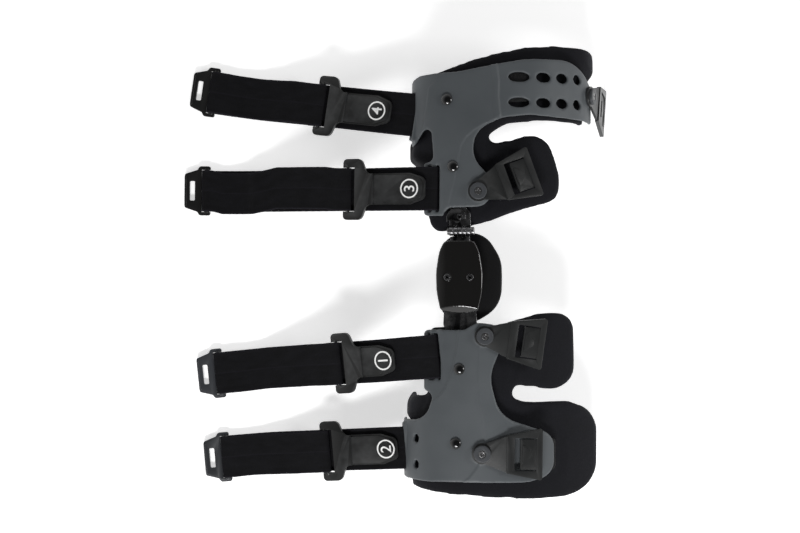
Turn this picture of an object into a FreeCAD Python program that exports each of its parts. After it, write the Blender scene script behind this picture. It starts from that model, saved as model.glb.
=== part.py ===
"""Hinged knee brace with one side upright, laid on its cuff edges with the upright on top.

The leg's long axis is Y (thigh at +Y, calf at -Y), the front of the leg is +X and the back is -X.
Z points away from the knee, out through the hinge. The origin is the centre of the knee pad's inner face,
on the knee's own turning axis. All sizes are in millimetres.

A thigh cuff and a calf cuff, each a moulded shell over a foam liner, hang from a steel upright that runs
between shell and liner. The upright bends at a geared double-pivot hinge under a glossy cover, and a small
knuckle hinge above it tilts the thigh cuff sideways. Four straps are looped to the cuffs' back edges. Each
runs out, turns round a clip's bar and comes back to a numbered pull tab. The clips hook on to four swivelling
catches on the front of the cuffs.
"""
import FreeCAD
import Part
import math
import os

from FreeCAD import Matrix, Rotation, Vector

X_AXIS = Vector(1, 0, 0)
Y_AXIS = Vector(0, 1, 0)
Z_AXIS = Vector(0, 0, 1)
GAP = 0.3                      # air between parts that move past each other
FAR = 400.0                    # longer than the brace, for cutting prisms

# ---- heights at the upright, going out from the knee --------------------------------------------
PAD_T = 11.0                   # knee pad foam, its inner face at z = 0
PAD_HOOK_T = 1.6               # hook patch that holds the pad on the inner plate
PLATE_T = 2.0                  # inner and outer hinge plates
BAR_T = 3.0                    # steel arms and bars
PLATE_Z = PAD_T + PAD_HOOK_T
BAR_Z = PLATE_Z + PLATE_T + GAP
BAR_TOP = BAR_Z + BAR_T
SHELL_T = 3.0                  # moulded cuff shells
SHELL_IN = BAR_TOP + 1.2       # shell's inner face over the bar
SHELL_OUT = SHELL_IN + SHELL_T
LINER_T = 7.0                  # foam liners
LINER_OUT = BAR_Z - 0.2        # liner's outer face under the bar
LINER_IN = LINER_OUT - LINER_T

# ---- cuff cross-sections: (radius of the shell's outer face, angle) from the upright outwards ---
THIGH_FRONT = [(170.0, 33.0), (48.0, 62.0)]
THIGH_BACK = [(200.0, 5.5), (34.0, 72.5)]
CALF_FRONT = [(120.0, 20.0), (190.0, 34.0)]
CALF_BACK = [(200.0, 4.0), (50.0, 74.0)]
SHELL_TAIL = 10.0              # straight run of a shell below its back curve
LINER_TAIL = 34.0              # the liners reach further, down to the table
ROLL = 12.0                    # the laid brace leans this far on to its back edge

# ---- the hinge ----------------------------------------------------------------------------------
PIVOT_Y = 13.0                 # each knee pivot's distance from the knee axis
PIN_R = 4.0                    # knee pivot pins
ARM_W = 24.0                   # width of the steel arms
BAR_W = 15.0                   # width of the bars under the shells
GEAR_TEETH = 18
TILT_Y = 42.0                  # tilt hinge's axis
TILT_Z = BAR_Z + BAR_T / 2.0
TILT_PIN_R = 2.0
KNUCKLE_R = 4.2

# ---- rivets, straps and catches -----------------------------------------------------------------
THIGH_RIVETS = [(-11.4, 161.4), (-5.8, 100.4)]
CALF_RIVETS = [(0.0, -83.5), (-3.2, -151.0)]
RIVET_R = 2.5
STRAP_W = 40.0
WEB_T = 1.6
BAR_LOOP_R = 2.0               # round bar at a shell's back edge
CLIP_BAR_R = 2.6
TAB_BAR_R = 1.5


def place(shape, x=0.0, y=0.0, z=0.0):
    """A moved copy of the shape."""
    moved = shape.copy()
    moved.translate(Vector(x, y, z))
    return moved


def turned(shape, centre, axis, degrees):
    """A turned copy of the shape."""
    copy = shape.copy()
    copy.rotate(centre, axis, degrees)
    return copy


def box(x0, x1, y0, y1, z0, z1):
    """A block between two corners."""
    return Part.makeBox(x1 - x0, y1 - y0, z1 - z0, Vector(x0, y0, z0))


def rod(radius, length, base, axis=Z_AXIS):
    """A round bar from its base point along an axis."""
    return Part.makeCylinder(radius, length, base, axis)


def rounded_face(corners):
    """A flat face in XY from (x, y, corner radius) points, its corners rounded by tangent arcs."""
    count = len(corners)
    starts, ends, mids = [], [], []
    for i, (x, y, radius) in enumerate(corners):
        here = Vector(x, y, 0)
        back = Vector(*corners[i - 1][:2], 0) - here
        ahead = Vector(*corners[(i + 1) % count][:2], 0) - here
        half = back.getAngle(ahead) / 2.0
        back.normalize()
        ahead.normalize()
        reach = radius / math.tan(half)
        middle = back + ahead
        middle.normalize()
        starts.append(here + back * reach)
        ends.append(here + ahead * reach)
        mids.append(here + middle * (radius / math.sin(half) - radius))
    edges = []
    for i in range(count):
        if corners[i][2] > 0:
            edges.append(Part.Arc(starts[i], mids[i], ends[i]).toShape())
        following = starts[(i + 1) % count]
        if (following - ends[i]).Length > 1e-4:
            edges.append(Part.LineSegment(ends[i], following).toShape())
    return Part.Face(Part.Wire(edges))


def prism(corners, z0, z1):
    """A rounded outline in XY, raised from z0 to z1."""
    return place(rounded_face(corners), z=z0).extrude(Vector(0, 0, z1 - z0))


def follow(point, heading, pieces):
    """Walks a path in XZ. heading is in degrees from +X towards +Z; a piece is ("line", length)
    or ("arc", radius, angle), where a positive angle turns left. Returns its (point, heading) stations."""
    stations = [(point, heading)]
    for piece in pieces:
        a = math.radians(heading)
        if piece[0] == "line":
            point = (point[0] + piece[1] * math.cos(a), point[1] + piece[1] * math.sin(a))
        else:
            side = math.copysign(1.0, piece[2])
            centre = (point[0] - side * piece[1] * math.sin(a), point[1] + side * piece[1] * math.cos(a))
            heading += piece[2]
            b = math.radians(heading)
            point = (centre[0] + side * piece[1] * math.sin(b), centre[1] - side * piece[1] * math.cos(b))
        stations.append((point, heading))
    return stations


def beside(station, offset):
    """The point that lies offset to the left of a station."""
    (x, z), heading = station
    a = math.radians(heading)
    return Vector(x - offset * math.sin(a), 0, z + offset * math.cos(a))


def side_edges(point, heading, pieces, offset):
    """The edges of a path's parallel curve at that offset."""
    edges = []
    stations = follow(point, heading, pieces)
    for i, piece in enumerate(pieces):
        first, last = beside(stations[i], offset), beside(stations[i + 1], offset)
        if piece[0] == "line":
            edges.append(Part.LineSegment(first, last).toShape())
        else:
            halfway = follow(stations[i][0], stations[i][1], [("arc", piece[1], piece[2] / 2.0)])[-1]
            edges.append(Part.Arc(first, beside(halfway, offset), last).toShape())
    return edges


def ribbon(point, heading, pieces, low, high, y0, y1):
    """A solid between two parallel curves of a path in XZ, from y0 to y1."""
    stations = follow(point, heading, pieces)
    right = side_edges(point, heading, pieces, low)
    left = side_edges(point, heading, pieces, high)
    start = Part.LineSegment(beside(stations[0], low), beside(stations[0], high)).toShape()
    end = Part.LineSegment(beside(stations[-1], low), beside(stations[-1], high)).toShape()
    wire = Part.Wire(Part.__sortEdges__(right + [end] + left + [start]))
    return place(Part.Face(wire), y=y0).extrude(Vector(0, y1 - y0, 0))


def cuff_slab(front, back, inner, outer, y0, y1, tail):
    """A curved slab along a cuff's cross-section, between two heights at the upright."""
    back_turns = [("arc", r, a) for r, a in back] + [("line", tail)]
    front_turns = [("arc", r, -a) for r, a in front]
    low, high = inner - SHELL_OUT, outer - SHELL_OUT
    ahead = ribbon((0.0, SHELL_OUT), 0.0, front_turns, low, high, y0, y1)
    behind = ribbon((0.0, SHELL_OUT), 180.0, back_turns, -high, -low, y0, y1)
    return ahead.fuse(behind).removeSplitter()


def surface_at(profile, angle):
    """The point and slope on a cuff's outer face at that angle from the top, front side."""
    pieces, left = [], angle
    for radius, span in profile:
        step = min(left, span)
        if step > 1e-9:
            pieces.append(("arc", radius, -step))
            left -= step
    return follow((0.0, SHELL_OUT), 0.0, pieces)[-1][0]


def height_at(profile, x):
    """(z, slope in degrees) of a cuff's outer face at that distance x in front of the upright."""
    low, high = 0.0, sum(span for radius, span in profile)
    for step in range(50):
        middle = (low + high) / 2.0
        if surface_at(profile, middle)[0] < x:
            low = middle
        else:
            high = middle
    return surface_at(profile, low)[1], low


def back_point(profile, angle, depth=0.0):
    """The point on a cuff's outer face, or below it, at that angle round the back curve."""
    x, z = surface_at([(radius - depth, span) for radius, span in profile], angle)
    return -x, z - depth


# ---- the cuffs' flat outlines: (x, y, corner radius) ---------------------------------------------
THIGH_SHELL_OUTLINE = [
    (-34, 56, 4), (-17, 56, 7), (-10, 63, 5), (22, 64, 14), (33, 79, 12), (25, 94, 8), (12, 108, 24), (14, 133, 22),
    (38, 144.5, 22), (62, 147.5, 60), (150, 141, 1), (150, 166, 1), (117, 172, 4), (104, 198.5, 26),
    (60, 198, 80), (0, 187, 60), (-38, 185.5, 12), (-80, 173, 1), (-80, 122, 1), (-44, 122, 8),
    (-27, 143, 5), (-24, 105, 6), (-34, 105, 3),
]
THIGH_LINER_OUTLINE = [
    (-80, 66, 1), (-35.5, 64, 6), (-27, 39, 14), (-8, 41.5, 30), (30, 51, 60), (86.5, 70, 16), (88.5, 92, 40),
    (76, 135, 20), (28, 122.8, 3), (25, 130, 3), (40, 139, 16), (80, 142.5, 60), (150, 138.5, 1), (150, 176, 1),
    (119, 179, 4), (112, 209, 20), (85, 214, 60), (56, 211.5, 80), (12, 201, 100), (-38, 184, 14), (-80, 182, 1),
]
CALF_SHELL_OUTLINE = [
    (-80, -189, 1), (4, -186, 60), (60, -187, 30), (83, -181, 16), (83, -144, 16), (36, -126, 28),
    (27, -90, 36), (37, -64, 14), (34, -43, 8), (16, -41, 6), (4, -48, 12), (-34, -48, 5), (-34, -104, 4),
    (-24, -106, 6), (-32, -130, 20), (-80, -137, 1),
]
CALF_LINER_OUTLINE = [
    (-80, -198, 1), (-44, -198, 12), (70, -206, 60), (119, -204, 30), (119, -113.5, 32), (58, -113.5, 6),
    (46, -110.5, 3), (48, -99.5, 3), (100.5, -110, 22), (98.5, -31, 18), (70, -31, 50),
    (34, -42, 40), (-31, -45, 8), (-33, -109, 3), (-80, -113, 1),
]
ARM_HOLES = [(53.5, 19.5, 0.0), (74.9, 13.3, -4.0), (90.9, 10.6, -10.0), (104.1, 7.8, -20.0)]   # x, width, tilt
ARM_HOLE_ROWS = (181.4, 158.4)
ARM_HOLE_H = 8.8

# name: (y of the strap's middle, angle round the back curve of its bar, heading in plan)
THIGH_STRAPS = {4: (150.5, 66.0, -8.4), 3: (80.8, 14.0, -0.7)}
CALF_STRAPS = {1: (-72.5, 15.0, 6.0), 2: (-161.0, 72.0, 4.9)}
EDGE_HOLES = [(40.0, -149.0), (40.0, -173.0)]     # angle round the calf's back curve, y
NOTCH_W = STRAP_W + 3.0        # notch in the shell that a strap's bar bridges
NOTCH_R = 6.0
LOOP_DENT_R = 5.2              # dent that a strap's loop presses into the liner
BEAD_R = 2.3                   # bead along a notch's inner edge
BEAD_L = 50.0

# catch number: (pivot x, pivot y, direction in the cuff's surface)
THIGH_CATCHES = {3: (17.5, 77.9, 20.0)}
ARM_CATCH = (75.0, 168.0, -11.0)          # angle round the front curve instead of x
CALF_CATCHES = {1: (23.0, -53.4, -8.0), 2: (20.6, -159.4, -1.0)}
CATCH_BOSS_R = 9.0
CATCH_BOSS_H = 0.8
SCREW_R = 2.0


def on_surface(shape, x, y, z, slope, swing):
    """Puts a shape made about +Z on a cuff's face: swung in the face, sloped down to the front, moved."""
    shape = turned(shape, Vector(0, 0, 0), Z_AXIS, swing)
    shape = turned(shape, Vector(0, 0, 0), Y_AXIS, slope)
    return place(shape, x, y, z)


def catch_sites():
    """(catch number, cuff, x, y, z, slope, swing) of each catch's pivot on the shells' outer faces."""
    sites = []
    for cuff, profile, catches in (("thigh", THIGH_FRONT, THIGH_CATCHES), ("calf", CALF_FRONT, CALF_CATCHES)):
        for number, (x, y, swing) in catches.items():
            z, slope = height_at(profile, x)
            sites.append((number, cuff, x, y, z, slope, swing))
    angle, y, swing = ARM_CATCH
    x, z = surface_at(THIGH_FRONT, angle)
    sites.append((4, "thigh", x, y, z, angle, swing))
    return sites


def bar_site(back, angle):
    """The centre in XZ of a strap's bar, in the middle of the shell's thickness."""
    return back_point(back, angle, SHELL_T / 2.0)


def strap_notch(back, y, angle):
    """The space cleared round a strap's bar."""
    x, z = bar_site(back, angle)
    return rod(NOTCH_R, NOTCH_W, Vector(x, y - NOTCH_W / 2.0, z), Y_AXIS)


def bar_rod(r, length, back, y, angle, heading):
    """A rod of that radius and length along a strap's bar."""
    x, z = bar_site(back, angle)
    turn = math.radians(heading)
    along = Rotation(Y_AXIS, ROLL).multVec(Vector(-math.sin(turn), math.cos(turn), 0))
    return rod(r, length, Vector(x, y, z) - along * (length / 2.0), along)


def strap_bar(back, y, angle, heading):
    """The round bar that bridges a notch, level once the brace is laid down."""
    return bar_rod(BAR_LOOP_R, NOTCH_W + 5.0, back, y, angle, heading)


def rim_bead(back, y, angle, heading):
    """The raised bead on the shell along a notch's inner edge."""
    x, z = bar_site(back, angle)
    pieces, left = [], sum_of_arcs(back, angle) - NOTCH_R - 1.6
    for radius, span in back:
        step = min(left, math.radians(span) * radius)
        if step > 1e-9:
            pieces.append((radius - SHELL_T / 2.0, math.degrees(step / radius)))
            left -= step
    bead_x, bead_z = surface_at(pieces, 180.0)
    turn = math.radians(heading)
    along = Rotation(Y_AXIS, ROLL).multVec(Vector(-math.sin(turn), math.cos(turn), 0))
    start = Vector(-bead_x, y, bead_z - SHELL_T / 2.0) - along * (BEAD_L / 2.0)
    return rod(BEAD_R, BEAD_L, start, along)


def sum_of_arcs(profile, angle):
    """The distance round a cuff's outer face to that angle."""
    total, left = 0.0, angle
    for radius, span in profile:
        step = min(left, span)
        total += radius * math.radians(step)
        left -= step
    return total


def edge_holes():
    """Two small holes near the calf shell's back edge."""
    cutters = []
    for angle, y in EDGE_HOLES:
        x, z = back_point(CALF_BACK, angle, 6.0)
        lean = math.radians(angle)
        cutters.append(rod(3.8, 12.0, Vector(x, y, z), Vector(-math.sin(lean), 0, math.cos(lean))))
    return cutters


def arm_holes():
    """The two rows of oval holes through the thigh shell's arm."""
    cutters = []
    for row in ARM_HOLE_ROWS:
        for x, width, tilt in ARM_HOLES:
            z, slope = height_at(THIGH_FRONT, x)
            length = width / math.cos(math.radians(slope - ROLL))
            half_l, half_h = length / 2.0, ARM_HOLE_H / 2.0
            oval = Part.Face(Part.Wire(Part.Ellipse(Vector(0, 0, 0), half_l, half_h).toShape()))
            cutter = place(oval, z=-12.0).extrude(Vector(0, 0, 20.0))
            cutters.append(on_surface(cutter, x, row, z, slope, tilt))
    return cutters


def cuff_shell(front, back, outline, straps, sites, rivets, holes):
    """A moulded cuff shell with its strap bars, catch bosses and rivet holes."""
    ys = [y for x, y, r in outline]
    slab = cuff_slab(front, back, SHELL_IN, SHELL_OUT, min(ys) - 5, max(ys) + 5, SHELL_TAIL)
    shell = slab.common(prism(outline, -FAR, FAR))
    for x, y, z, slope in sites:
        boss = rod(CATCH_BOSS_R, CATCH_BOSS_H + 1.5, Vector(0, 0, -1.5))
        shell = shell.fuse(on_surface(boss, x, y, z, slope, 0.0))
    cutters = [strap_notch(back, y, angle) for y, angle, heading in straps] + holes
    cutters += [rod(RIVET_R, 20.0, Vector(x, y, SHELL_IN - 5)) for x, y in rivets]
    for x, y, z, slope in sites:
        cutters.append(on_surface(rod(SCREW_R, 20.0, Vector(0, 0, -12.0)), x, y, z, slope, 0.0))
    shell = shell.cut(cutters)
    for y, angle, heading in straps:
        shell = shell.fuse([strap_bar(back, y, angle, heading), rim_bead(back, y, angle, heading)])
    return shell.removeSplitter()


def cuff_liner(front, back, outline, straps):
    """A foam liner: the cuff's cross-section under the shell, cut to its outline, dented by the straps' loops."""
    ys = [y for x, y, r in outline]
    slab = cuff_slab(front, back, LINER_IN, LINER_OUT, min(ys) - 5, max(ys) + 5, LINER_TAIL)
    dents = [bar_rod(LOOP_DENT_R, NOTCH_W, back, y, angle, heading) for y, angle, heading in straps]
    return slab.common(prism(outline, -FAR, FAR)).cut(dents)


# ---- the upright and the hinge ---------------------------------------------------------------------
PIN_CLEARANCE = 0.05
TOOTH_REACH = 1.2              # a gear tooth's height above its pitch circle
TOOTH_ROOT = 1.6
FLEXION = 12.0                 # each pivot's travel, in degrees
LUG_Y = 5.4                    # the arms' shoulders, from the knee axis
STOP_X = 10.5                  # the two housing screws, either side of the gears
SPACER_R = 2.2
HOUSING_SCREW_R = 1.4
PLATE_OUTLINE = [(-14, -27, 8), (14, -27, 8), (17, 0, 40), (13.5, 29, 8), (-13.5, 29, 8), (-17, 0, 40)]
COVER_OUTLINE = [
    (-17.2, -30, 3), (0, -33.5, 50), (17.2, -30, 3), (20.8, -14, 50), (21.6, 4, 60), (18.5, 23, 30), (13.5, 33, 5),
    (-13.5, 33, 5), (-18.5, 23, 30), (-21.6, 4, 60), (-20.8, -14, 50),
]
COVER_H = 7.8
COVER_CROWN_R = 90.0
COVER_BEVEL = 36.0             # slope of the bevel at the cover's lower end
PAD_OUTLINE = [(-22, -41.5, 22), (12, -42.5, 22), (37, -27, 28), (37, 16, 28), (20, 43.5, 24), (-22, 36.5, 22)]
PAD_HOOK_OUTLINE = [(-15, -34, 14), (17, -34, 14), (17, 34, 14), (-15, 34, 14)]
LINK_W = 18.0
KNUCKLE_W = 4.0
BAR_LEAN = 4.6                 # the thigh bar leans this far back
HEX_Y = 55.0                   # tilt screw
HEX_R = 2.5


def gear(y, first_tooth):
    """A gear about a knee pivot, in the arms' layer, with a tooth at that angle."""
    root = rod(PIVOT_Y - TOOTH_ROOT, BAR_T, Vector(0, y, BAR_Z))
    pitch_angle = 360.0 / GEAR_TEETH
    flank = [(PIVOT_Y - TOOTH_ROOT - 1.0, 6.6), (PIVOT_Y - TOOTH_ROOT, 6.2), (PIVOT_Y, 4.1),
             (PIVOT_Y + TOOTH_REACH, 1.7)]
    points = [(r, -a) for r, a in flank] + [(r, a) for r, a in reversed(flank)]
    teeth = []
    for k in range(-3, 4):
        centre = first_tooth + k * pitch_angle
        corners = []
        for r, a in points:
            t = math.radians(centre + a)
            corners.append(Vector(r * math.cos(t), y + r * math.sin(t), BAR_Z))
        wire = Part.makePolygon(corners + [corners[0]])
        teeth.append(Part.Face(wire).extrude(Vector(0, 0, BAR_T)))
    return root.fuse(teeth)


def stop_lugs(side):
    """The shoulders that meet the stops, on the arm at that side of the knee axis."""
    y0, y1 = sorted((LUG_Y * side, PIVOT_Y * side))
    front = box(13.0, 16.5, y0, y1, BAR_Z, BAR_TOP)
    back = box(-16.5, -14.5, y0, y1, BAR_Z, BAR_TOP)
    web_y = sorted((9.0 * side, 16.0 * side))
    return [front, back, box(-16.5, 16.5, web_y[0], web_y[1], BAR_Z, BAR_TOP)]


def knuckles(slots):
    """Barrels round the tilt axis in those slots, of five side by side."""
    barrels = []
    for slot in slots:
        x = (slot - 2.5) * KNUCKLE_W + GAP / 2.0
        barrels.append(rod(KNUCKLE_R, KNUCKLE_W - GAP, Vector(x, TILT_Y, TILT_Z), X_AXIS))
    return barrels


def tilt_bore(extra):
    """The bore for the tilt pin."""
    return rod(TILT_PIN_R + extra, 40.0, Vector(-20, TILT_Y, TILT_Z), X_AXIS)


def thigh_link():
    """The upper geared arm, from its knee pivot to the tilt hinge."""
    link = gear(PIVOT_Y, -90.0)
    neck = box(-LINK_W / 2.0, LINK_W / 2.0, PIVOT_Y, TILT_Y - KNUCKLE_R - 1.0, BAR_Z, BAR_TOP)
    link = link.fuse(stop_lugs(1) + [neck])
    link = link.cut(rod(PIN_R + PIN_CLEARANCE, 20.0, Vector(0, PIVOT_Y, BAR_Z - 5)))
    for slot in (1, 3):
        x = (slot - 2.5) * KNUCKLE_W + GAP / 2.0
        link = link.fuse(box(x, x + KNUCKLE_W - GAP, TILT_Y - KNUCKLE_R - 1.5, TILT_Y, BAR_Z, BAR_TOP))
    link = link.fuse(knuckles((1, 3)))
    return link.cut(tilt_bore(PIN_CLEARANCE)).removeSplitter()


def thigh_bar():
    """The bar under the thigh shell, with its tilt knuckles and the screw's bracket."""
    hub = Vector(0, TILT_Y, BAR_Z)
    outline = [(-BAR_W / 2, 50, 2), (BAR_W / 2, 50, 2), (BAR_W / 2, 176, 7), (-BAR_W / 2, 176, 7)]
    bar = turned(prism(outline, BAR_Z, BAR_TOP), hub, Z_AXIS, BAR_LEAN)
    foot = prism([(-10, 46.6, 1), (10, 46.6, 1), (9, 62, 5), (-9, 62, 5)], BAR_Z, BAR_TOP)
    bar = bar.fuse(foot)
    for slot in (0, 2, 4):
        x = (slot - 2.5) * KNUCKLE_W + GAP / 2.0
        bar = bar.fuse(box(x, x + KNUCKLE_W - GAP, TILT_Y, TILT_Y + KNUCKLE_R + 1.5, BAR_Z, BAR_TOP))
    bar = bar.fuse(knuckles((0, 2, 4)))
    holes = [rod(RIVET_R, 20.0, Vector(x, y, BAR_Z - 5)) for x, y in THIGH_RIVETS]
    holes += [tilt_bore(0.0), rod(HEX_R + PIN_CLEARANCE, 20.0, Vector(0, HEX_Y, BAR_Z - 5))]
    return bar.cut(holes).removeSplitter()


def calf_bar():
    """The lower geared arm and the bar under the calf shell, in one piece."""
    bar = gear(-PIVOT_Y, 90.0 + 180.0 / GEAR_TEETH)
    neck = prism([(-14, -12, 1), (14, -12, 1), (15.5, -44, 6), (7.5, -58, 8), (7.5, -166, 7), (-7.5, -166, 7),
                  (-7.5, -58, 8), (-15.5, -44, 6)], BAR_Z, BAR_TOP)
    neck = neck.cut(rod(PIVOT_Y + TOOTH_REACH + 1.5, BAR_T * 3, Vector(0, PIVOT_Y, BAR_Z - BAR_T)))
    bar = bar.fuse(stop_lugs(-1) + [neck])
    holes = [rod(RIVET_R, 20.0, Vector(x, y, BAR_Z - 5)) for x, y in CALF_RIVETS]
    holes.append(rod(PIN_R + PIN_CLEARANCE, 20.0, Vector(0, -PIVOT_Y, BAR_Z - 5)))
    return bar.cut(holes).removeSplitter()


def housing_plate(z):
    """One of the two plates that hold the pivot pins."""
    plate = prism(PLATE_OUTLINE, z, z + PLATE_T)
    cutters = [rod(PIN_R, 20.0, Vector(0, y, z - 5)) for y in (-PIVOT_Y, PIVOT_Y)]
    cutters += [rod(HOUSING_SCREW_R, 20.0, Vector(x, 0, z - 5)) for x in (-STOP_X, STOP_X)]
    return plate.cut(cutters)


def knee_pins():
    """The two knee pivot pins, ending flush with the plates."""
    top = BAR_TOP + GAP + PLATE_T
    return Part.makeCompound([rod(PIN_R, top - PLATE_Z, Vector(0, y, PLATE_Z)) for y in (-PIVOT_Y, PIVOT_Y)])


def spacers():
    """The two tubes that hold the plates apart."""
    tubes = []
    for x in (-STOP_X, STOP_X):
        base = Vector(x, 0, PLATE_Z + PLATE_T)
        height = BAR_T + 2.0 * GAP
        tubes.append(rod(SPACER_R, height, base).cut(rod(HOUSING_SCREW_R, height, base)))
    return Part.makeCompound(tubes)


def stop_blank(x0, x1, half_height):
    """A stop's block, clamped between the plates and cleared round the gears and its spacer."""
    blank = box(x0, x1, -half_height, half_height, PLATE_Z + PLATE_T, BAR_TOP + GAP)
    middle = STOP_X if x0 > 0 else -STOP_X
    cutters = [rod(PIVOT_Y + TOOTH_REACH + 0.3, 20.0, Vector(0, y, BAR_Z - 5)) for y in (-PIVOT_Y, PIVOT_Y)]
    cutters.append(rod(SPACER_R, 20.0, Vector(middle, 0, BAR_Z - 5)))
    return blank.cut(cutters)


def extension_stop():
    """The block at the front that the arms' shoulders rest on when the knee is straight."""
    return stop_blank(9.0, 16.5, LUG_Y - 0.1)


def flexion_stop():
    """The thin wedge at the back that ends the bend, shaped to the shoulders at full flexion."""
    wedge = stop_blank(-16.5, -12.0, 2.6)
    for side in (1, -1):
        y0, y1 = sorted((LUG_Y * side, PIVOT_Y * side))
        sweep = box(-40.0, 10.0, y0, y1, BAR_Z - 2, BAR_TOP + 2)
        wedge = wedge.cut(turned(sweep, Vector(0, PIVOT_Y * side, 0), Z_AXIS, side * (FLEXION + 0.4)))
    return wedge


def hinge_cover():
    """The glossy cover: a crowned cap over the outer plate, bevelled at its lower end, screwed through the plates."""
    base = BAR_TOP + GAP
    top = base + COVER_H
    cap = prism(COVER_OUTLINE, base, top)
    cap = cap.common(rod(COVER_CROWN_R, 90.0, Vector(0, -45.0, top - COVER_CROWN_R), Y_AXIS))
    bevel = turned(box(-40, 40, -30, 0, 0, 20), Vector(0, 0, 0), X_AXIS, COVER_BEVEL)
    cap = cap.cut(place(bevel, y=-26.0, z=top))
    cap = cap.cut(prism([(x * 1.02, y * 1.02, r) for x, y, r in PLATE_OUTLINE], base - 1, base + PLATE_T + 1.2))
    for x in (-STOP_X, STOP_X):
        cap = cap.cut(rod(HOUSING_SCREW_R, 20.0, Vector(x, 0, base)))
        cap = cap.cut(rod(3.1, 6.0, Vector(x, 0, top - 1.8)))
    return cap


def housing_screws():
    """The two cover screws, with hexagon sockets."""
    base = BAR_TOP + GAP
    screws = []
    for x in (-STOP_X, STOP_X):
        head_z = base + COVER_H - 1.8
        head = rod(3.0, 2.4, Vector(x, 0, head_z))
        shank = rod(HOUSING_SCREW_R, head_z - PLATE_Z, Vector(x, 0, PLATE_Z))
        screws.append(head.fuse(shank).cut(socket(x, 0, head_z + 1.0, 1.3)))
    return Part.makeCompound(screws)


def socket(x, y, z, radius):
    """A hexagon socket's cutter, open upwards."""
    corners = [Vector(x + radius * math.cos(math.radians(60 * k)), y + radius * math.sin(math.radians(60 * k)), z)
               for k in range(7)]
    return Part.Face(Part.makePolygon(corners)).extrude(Vector(0, 0, 5.0))


def tilt_screw():
    """The hexagon socket screw that sets the thigh cuff's tilt."""
    screw = rod(HEX_R, BAR_T + 1.6, Vector(0, HEX_Y, BAR_Z))
    return screw.cut(socket(0, HEX_Y, BAR_TOP - 0.6, 1.4))


def tilt_pin():
    """The tilt hinge's pin, with a head on one side and a nut on the other."""
    reach = 2.5 * KNUCKLE_W
    pin = rod(TILT_PIN_R, 2 * reach + 1.0, Vector(-reach - 0.4, TILT_Y, TILT_Z), X_AXIS)
    head = rod(3.4, 1.4, Vector(-reach - 1.7, TILT_Y, TILT_Z), X_AXIS)
    nut = rod(3.6, 2.6, Vector(reach + 0.3, TILT_Y, TILT_Z), X_AXIS)
    return pin.fuse([head, nut])


def dome_rivets(places):
    """Domed rivets through a shell and its bar."""
    rivets = []
    for x, y in places:
        shank = rod(RIVET_R, SHELL_OUT + 0.5 - BAR_Z, Vector(x, y, BAR_Z))
        skirt = rod(5.0, 1.0, Vector(x, y, SHELL_OUT))
        ball = Part.makeSphere(7.4, Vector(x, y, SHELL_OUT - 3.9))
        dome = ball.common(rod(5.0, 10.0, Vector(x, y, SHELL_OUT + 0.9)))
        rivets.append(shank.fuse([skirt, dome]))
    return Part.makeCompound(rivets)


# ---- pads and patches ------------------------------------------------------------------------------
THIGH_PATCH_OUTLINE = [(14, 156, 4), (62, 160, 4), (62, 190, 4), (14, 182, 4)]
CALF_PATCH_OUTLINE = [(32, -180, 4), (84, -177, 4), (84, -148, 4), (32, -144, 4)]


def knee_pad():
    """The foam pad on the inner side of the knee."""
    pad = prism(PAD_OUTLINE, 0.0, PAD_T)
    rim = [e for e in pad.Edges if abs(e.BoundBox.ZMin) < 1e-3 and abs(e.BoundBox.ZMax) < 1e-3]
    return pad.makeFillet(3.0, rim)


def hook_patch(front, back, outline):
    """A hook patch between a shell and its liner."""
    ys = [y for x, y, r in outline]
    slab = cuff_slab(front, back, LINER_OUT, SHELL_IN, min(ys) - 5, max(ys) + 5, SHELL_TAIL)
    return slab.common(prism(outline, -FAR, FAR))


def tilt_pocket():
    """The hollow in the thigh liner that the tilt hinge moves in."""
    barrel = rod(KNUCKLE_R + 1.6, 30.0, Vector(-14.5, TILT_Y, TILT_Z), X_AXIS)
    return barrel.fuse(box(-14.5, 15.5, TILT_Y - 8.0, TILT_Y, LINER_OUT - 2.5, TILT_Z))


# ---- strap catches ---------------------------------------------------------------------------------
CATCH_T = 2.4
CATCH_Z = CATCH_BOSS_H + 0.1
CATCH_HOLE_R = 5.0
CATCH_BEND_X = 23.0
CATCH_BENDS = {1: 8.0, 2: 8.0, 3: 15.0, 4: 8.0}
CAP_R = 7.7
CAP_T = 2.8
FAN = [(2.0, -9.1, 0), (CATCH_BEND_X, -16.6, 0), (CATCH_BEND_X, 16.6, 0), (2.0, 9.1, 0)]
FRAME = [(21.5, -17.0, 1.0), (54.6, -23.6, 2.0), (54.6, 23.6, 2.0), (21.5, 17.0, 1.0)]
WINDOW = [(28.8, -14.9, 1.0), (49.0, -14.9, 1.0), (49.0, 14.9, 1.0), (28.8, 14.9, 1.0)]
TONGUE = [(34.4, -13.7, 0.8), (50.3, -13.7, 0.8), (50.3, 13.7, 0.8), (34.4, 13.7, 0.8)]
ARROW = [(36.2, -9.6, 1.2), (46.6, 0.0, 4.0), (36.2, 9.6, 1.2)]


def catch(bend):
    """A swivelling catch about its pivot, its frame bent down outside the fan."""
    z = CATCH_Z
    fan = rod(9.4, CATCH_T, Vector(0, 0, z)).fuse(prism(FAN, z, z + CATCH_T))
    frame = prism(FRAME, z - 0.4, z + CATCH_T + 0.8).cut(prism(WINDOW, z - 5, z + 9))
    tongue = prism(TONGUE, z - 0.2, z + CATCH_T).fuse(prism(ARROW, z + CATCH_T - 0.2, z + CATCH_T + 0.6))
    frame = turned(frame.fuse(tongue), Vector(CATCH_BEND_X, 0, z), Y_AXIS, bend)
    hole = rod(CATCH_HOLE_R + PIN_CLEARANCE, 20.0, Vector(0, 0, -5))
    return fan.fuse(frame).cut(hole).removeSplitter()


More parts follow.
